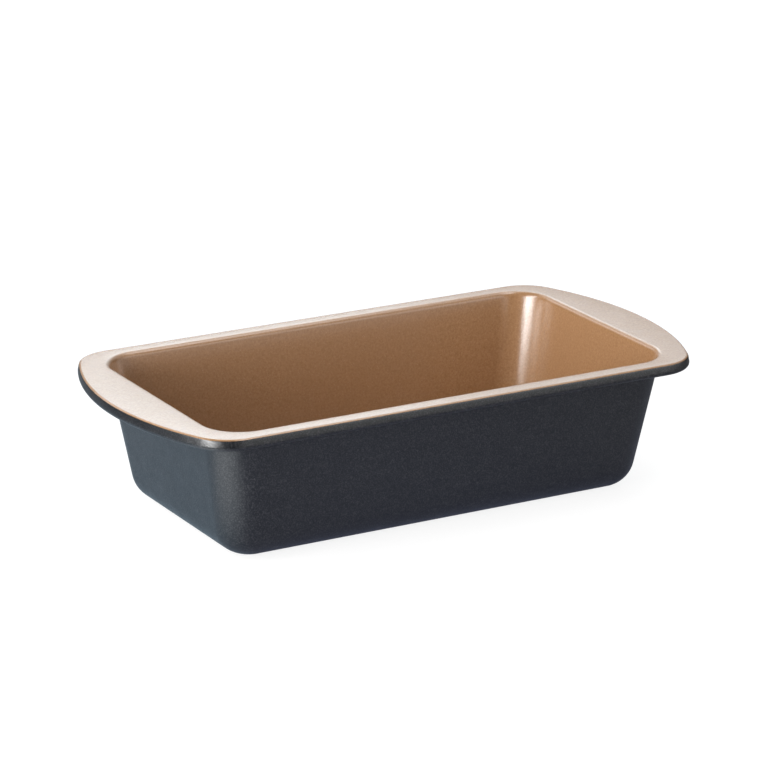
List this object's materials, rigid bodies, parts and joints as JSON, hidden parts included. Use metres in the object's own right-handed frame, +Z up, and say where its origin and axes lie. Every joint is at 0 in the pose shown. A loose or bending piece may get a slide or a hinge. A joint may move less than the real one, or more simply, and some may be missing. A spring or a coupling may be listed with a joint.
{
  "type": "loaf pan",
  "caption": "Drawn steel loaf pan with tapered walls, a flat rim that widens into D-shaped end handles, a rolled wired edge and a copper-coloured ceramic lining.",
  "frame": {"origin": "middle of the flat underside of the base, on the surface that the pan stands on", "axes": "+Z up out of the open top, +X along the pan towards one handle, +Y across it"},
  "size_m": [0.2716, 0.14, 0.0626],
  "materials": {
    "black_finish": "satin black baked-on finish over steel sheet, with a fine speckle",
    "copper_ceramic": "glossy copper-brown ceramic non-stick lining with a faint mottle",
    "wire_steel": "plain drawn steel wire"
  },
  "bodies": {
    "root": {"pan_body": "black_finish", "ceramic_lining": "copper_ceramic", "rim_wire": "wire_steel"}
  },
  "joints": []
}
